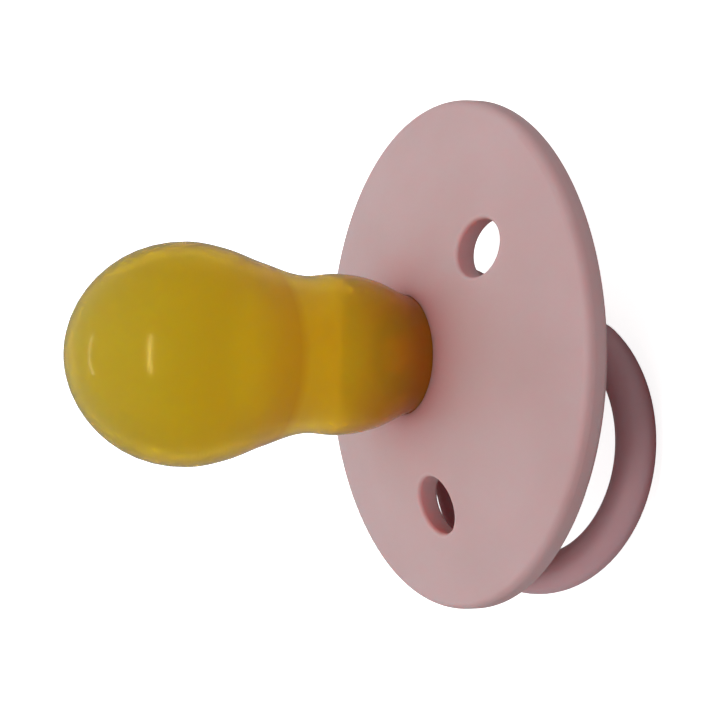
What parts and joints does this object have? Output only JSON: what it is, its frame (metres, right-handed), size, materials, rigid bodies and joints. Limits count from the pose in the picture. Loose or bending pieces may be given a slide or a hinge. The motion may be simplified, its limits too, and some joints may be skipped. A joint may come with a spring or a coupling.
{
  "type": "pacifier",
  "caption": "Baby's soother with a round latex teat, a round domed shield with vents, and a pull ring that swings on a rear knob.",
  "frame": {"origin": "centre of the button's flat rear face, on the teat's axis", "axes": "+Z along the teat's axis towards the mouth, -Y towards the side on which the ring hangs, and the ring's bar runs nearly along X"},
  "size_m": [0.043, 0.043, 0.0483],
  "materials": {
    "latex": "translucent amber natural rubber, smooth, slightly glossy",
    "shield_plastic": "matte moulded polypropylene, dusty pink",
    "plug_plastic": "matte moulded polypropylene, dusty pink",
    "button_plastic": "matte moulded polypropylene, dusty pink",
    "ring_plastic": "matte moulded polypropylene, dusty pink"
  },
  "bodies": {
    "soother": {"teat": "latex", "shield": "shield_plastic", "plug": "plug_plastic", "button": "button_plastic"},
    "pull_ring": {"ring": "ring_plastic"}
  },
  "joints": [
    {"name": "ring_swing", "type": "hinge", "parent": "soother", "child": "pull_ring", "pos_m": [0, 0, 0.00506], "axis": [0.965, 0, -0.2622], "range_deg": [-11, 193]}
  ]
}
